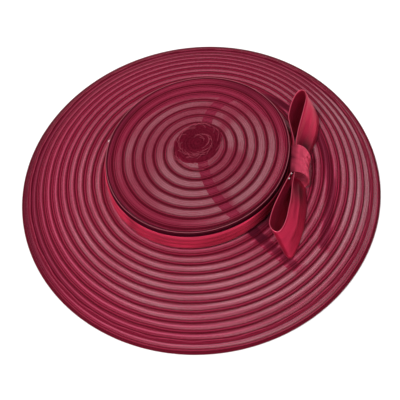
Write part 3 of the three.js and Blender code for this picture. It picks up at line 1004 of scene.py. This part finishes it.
def braid_material(name, width, cover, plateau, shaded, closed, opened, cord_width, glint_share):
    """Translucent braid: fine crossed threads and a few stouter ones along it, between two dense selvedges.

    It is close up to the distance closed from a selvedge, and open from the distance opened.
    Its third mark darkens it for closer weave and for painted shade, and lightens it below 0 as a painted
    highlight.
    """
    material, shader = principled(name, shaded, 0.42, {"Specular IOR Level": 0.05})
    tree = material.node_tree
    along, across, dense = weave_marks(tree)
    middle = width * MM / 2
    from_middle = maths(tree, "ABSOLUTE", maths(tree, "SUBTRACT", across, middle))
    to_edge = maths(tree, "SUBTRACT", middle, from_middle)
    cord = ramp(tree, to_edge, cord_width * MM * 0.8, cord_width * MM * 1.25, 1, 0)
    one_way = wave(tree, maths(tree, "MULTIPLY_ADD", along, CROSSED_LEAN, across), CROSSED_PITCH)
    other_way = wave(tree, maths(tree, "MULTIPLY_ADD", along, -CROSSED_LEAN, across), CROSSED_PITCH)
    crossed = maths(tree, "MAXIMUM", one_way, other_way)
    drift = maths(tree, "MULTIPLY", wave(tree, along, STOUT_DRIFT), 0.7)
    phase = maths(tree, "MULTIPLY_ADD", across, TURN / (STOUT_PITCH * MM), drift)
    stout = ramp(tree, maths(tree, "SINE", phase), 0.72, 0.95, 0, 1)
    sheer = ramp(tree, dense, 0, 1, 1.0, 0.3)
    open_part = maths(tree, "MULTIPLY", ramp(tree, to_edge, closed * MM, opened * MM, 0, 1), sheer)

    alpha = maths(tree, "MULTIPLY_ADD", open_part, -0.36, cover + 0.22)
    alpha = maths(tree, "MULTIPLY_ADD", crossed, 0.3, alpha)
    alpha = maths(tree, "MULTIPLY_ADD", stout, 0.25, alpha)
    alpha = maths(tree, "MULTIPLY_ADD", dense, 0.22, alpha)
    alpha = maths(tree, "MAXIMUM", alpha, cord, clamped=True)

    place = tree.nodes.new("ShaderNodeTexCoord").outputs["Object"]
    blotch = node(tree, "ShaderNodeTexNoise", {"Scale": 26, "Detail": 3, "Vector": place}).outputs["Fac"]
    between = maths(tree, "MULTIPLY", line_at(tree, across, 1.85, 0.3, 0.75, 0.5), sheer)
    lit = maths(tree, "MAXIMUM", open_part, between)
    uneven = maths(tree, "MULTIPLY", lit, ramp(tree, blotch, 0.3, 0.7, 0.78, 1.0))
    glint = line_at(tree, across, 5.8, 0.2, 0.8, glint_share)
    seen = ramp(tree, dense, 0.0, 2.0, 1.0, 0.25)
    dashes = ramp(tree, wave(tree, along, DASH_PITCH), 0.55, 0.9, 0, 0.55)
    tone = mixed(tree, uneven, (*shaded, 1), (*plateau, 1))
    tone = mixed(tree, maths(tree, "MULTIPLY", stout, 0.4), tone, STOUT_COLOUR)
    tone = mixed(tree, maths(tree, "MULTIPLY", glint, seen), tone, GLINT_COLOUR)
    tone = mixed(tree, line_at(tree, across, 2.75, 0.2, 0.6, 0.85), tone, SECOND_CORD_COLOUR)
    # Darker for closer weave and for painted shade
    tone = mixed(tree, ramp(tree, dense, 0.8, 2.0, 0, 0.8), tone, CLOSE_AND_SHADE_COLOUR)
    # Painted highlight where the mark is below 0
    tone = mixed(tree, ramp(tree, dense, -1, 0, 0.5, 0), tone, PAINTED_HIGHLIGHT_COLOUR)
    tone = mixed(tree, cord, tone, mixed(tree, dashes, CORD_COLOUR, CORD_DASH_COLOUR))

    relief = maths(tree, "ADD", crossed, maths(tree, "MULTIPLY", stout, 1.5))
    surface = node(tree, "ShaderNodeBump", {"Strength": 0.5, "Distance": 0.12 * MM, "Height": relief})
    feed_inputs(tree, shader, {"Base Color": tone, "Alpha": alpha, "Normal": surface.outputs["Normal"]})
    return material


def satin_material(name, colour, roughness, gloss=0.5, creases=0.0, metal=0.0, edge_highlight=None, sheen=0.15):
    """Satin: fine threads along the ribbon, a soft directional gloss, faint creases, painted shade, and a
    painted highlight at the edge
    """
    gloss_inputs = {
        "Anisotropic": 0.6,
        "Specular IOR Level": gloss,
        "Metallic": metal,
        "Specular Tint": (1, 0.35, 0.45, 1),
        "Sheen Weight": sheen,
        "Sheen Roughness": 0.35,
        "Sheen Tint": (1, 0.15, 0.28, 1),
    }
    material, shader = principled(name, colour, roughness, gloss_inputs)
    tree = material.node_tree
    along, across, shade = weave_marks(tree)
    stretched = node(tree, "ShaderNodeCombineXYZ", {"X": maths(tree, "MULTIPLY", along, 0.25), "Y": across})
    cloud_inputs = {"Scale": 160, "Detail": 4, "Vector": stretched.outputs[0]}
    cloud = node(tree, "ShaderNodeTexNoise", cloud_inputs).outputs["Fac"]
    deeper = tuple((0.72 - 0.35 * creases) * c for c in colour)
    lighter = tuple(min(1.0, (1.25 + 0.5 * creases) * c) for c in colour)
    tone = mixed(tree, cloud, (*deeper, 1), (*lighter, 1))
    tone = mixed(tree, maths(tree, "MULTIPLY", shade, 0.9), tone, SATIN_SHADE)
    # Painted highlight along the crest edge
    if edge_highlight:
        tone = mixed(tree, ramp(tree, across, 0.25 * MM, 0.7 * MM, 0.75, 0), tone, (*edge_highlight, 1))

    weft = maths(tree, "MULTIPLY", wave(tree, along, WEFT_PITCH), 0.4)
    threads = maths(tree, "MULTIPLY", maths(tree, "ADD", wave(tree, across, THREAD_PITCH), weft), 0.5)
    fine = node(tree, "ShaderNodeBump", {"Strength": 0.25, "Distance": 0.04 * MM, "Height": threads})
    crease_inputs = {
        "Strength": 0.35 + creases,
        "Distance": 0.5 * MM,
        "Height": cloud,
        "Normal": fine.outputs["Normal"],
    }
    surface = node(tree, "ShaderNodeBump", crease_inputs)
    feed_inputs(tree, shader, {"Base Color": tone, "Normal": surface.outputs["Normal"]})
    return material


def give(obj, material, slot_name, *nodes):
    obj.data.materials.append(material)
    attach(obj, "root")
    if nodes:
        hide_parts(*nodes)


camera()

braid = braid_material(
    "braid",
    width=ROW_PITCH + ROW_LAP,
    cover=0.37,
    plateau=(0.41, 0.021, 0.072),
    shaded=(0.165, 0.0052, 0.021),
    closed=2.9,
    opened=4.1,
    cord_width=SELVEDGE,
    glint_share=0.75,
)
tip_braid = braid_material(
    "tip_braid",
    width=TIP_WIDTH,
    cover=0.35,
    plateau=(0.37, 0.024, 0.067),
    shaded=(0.145, 0.0045, 0.019),
    closed=2.4,
    opened=3.7,
    cord_width=1.6,
    glint_share=0.2,
)
edge_cloth = satin_material("edge_cloth", (0.11, 0.003, 0.013), 0.5, gloss=0.05)
crown_cloth = satin_material("crown_cloth", (0.055, 0.002, 0.009), 0.6, gloss=0.03)
button_cloth = satin_material("button_cloth", (0.1, 0.003, 0.013), 0.5, gloss=0.1, creases=0.4)
# The crown's edge thread is pale partly as a painted highlight
light_thread = satin_material("light_thread", (0.42, 0.12, 0.15), 0.5, gloss=0.1)
nylon_end = satin_material("nylon_end", (0.37, 0.06, 0.095), 0.45, gloss=0.15)
pale_thread = satin_material("pale_thread", (0.92, 0.8, 0.8), 0.5)
ribbon_satin = satin_material("ribbon_satin", (0.68, 0.035, 0.09), 0.34, gloss=0.15, creases=0.7, metal=0.4)
bow_satin = satin_material(
    "bow_satin", (0.43, 0.015, 0.052), 0.33, gloss=0.15, creases=0.45, metal=0.5, edge_highlight=(0.72, 0.11, 0.18)
)
# The knot is the bow's satin made brighter: painted light on its lit top
knot_satin = satin_material("knot_satin", (0.72, 0.06, 0.12), 0.33, gloss=0.15, creases=0.8, metal=0.45)
band_satin = satin_material("headband_satin", (0.022, 0.0008, 0.004), 0.5, gloss=0.05, sheen=0.02)

give(brim_rows(), braid, "braid", "brim")
give(brim_edge(), edge_cloth, "edge", "brim_edge")
give(crown_wall(), braid, "braid", "crown_side")
give(tip_spiral(), tip_braid, "braid", "crown_tip")
give(button(), button_cloth, "braid")
give(button_threads(), nylon_end, "braid")
give(crown_edge(), crown_cloth, "edge", "crown_edge")
give(crown_thread(), light_thread, "edge")
give(thread_knots(), pale_thread, "edge")
band, band_length = ribbon_band()
give(band, ribbon_satin, "ribbon", "ribbon_band")
for loop_name, loop_rows, way, reach, cad in (
    ("bow_back_satin", BACK_ROWS, 1, BACK_LENGTH, "bow_loop_back"),
    ("bow_front_satin", FRONT_ROWS, -1, FRONT_LENGTH, "bow_loop_front"),
):
    loop_obj, loop_height, loop_area = bow_loop(loop_name, loop_rows, way, reach)
    give(loop_obj, bow_satin, "bow", cad)
give(bow_knot(), knot_satin, "bow", "bow_knot")
give(headband(), band_satin, "headband", "headband")

FLOOR_HALF = 3000
FLOOR_DROP = 0.2
floor_corners = []
for floor_x, floor_y in ((-1, -1), (1, -1), (1, 1), (-1, 1)):
    floor_corners.append(Vector((floor_x * FLOOR_HALF, floor_y * FLOOR_HALF, -FLOOR_DROP)))
floor = mesh_object("floor", floor_corners, [(0, 1, 2, 3)])
floor_material, _ = principled("floor", (0.96, 0.96, 0.96), 0.9, {})
floor.data.materials.append(floor_material)


def sun(name, azimuth, elevation, strength, softness):
    """Sun light, angles in degrees"""
    data = bpy.data.lights.new(name, "SUN")
    data.energy = strength
    data.angle = softness * DEG
    obj = bpy.data.objects.new(name, data)
    level = math.cos(elevation * DEG)
    x = math.cos(azimuth * DEG) * level
    y = math.sin(azimuth * DEG) * level
    place = Vector((x, y, math.sin(elevation * DEG)))
    obj.location = place
    obj.rotation_euler = (-place).to_track_quat("-Z", "Y").to_euler()
    bpy.context.scene.collection.objects.link(obj)


sun("key", azimuth=-150, elevation=66, strength=2.5, softness=12)
sun("side", azimuth=-35, elevation=45, strength=0.6, softness=40)

# Sky, brighter overhead and from the front left
world = bpy.data.worlds.new("world")
world.use_nodes = True
sky = world.node_tree
direction = sky.nodes.new("ShaderNodeTexCoord").outputs["Generated"]
sky_x, sky_y, sky_z = node(sky, "ShaderNodeSeparateXYZ", {"Vector": direction}).outputs
bright = maths(sky, "MULTIPLY_ADD", sky_x, -0.45, sky_z)
bright = maths(sky, "MULTIPLY_ADD", sky_y, -0.25, bright)
sky_light = {"Color": (1, 1, 1, 1), "Strength": ramp(sky, bright, -0.1, 1.0, 0.2, 0.5)}
feed_inputs(sky, sky.nodes["Background"], sky_light)
bpy.context.scene.world = world
bpy.context.scene.view_settings.view_transform = "Standard"
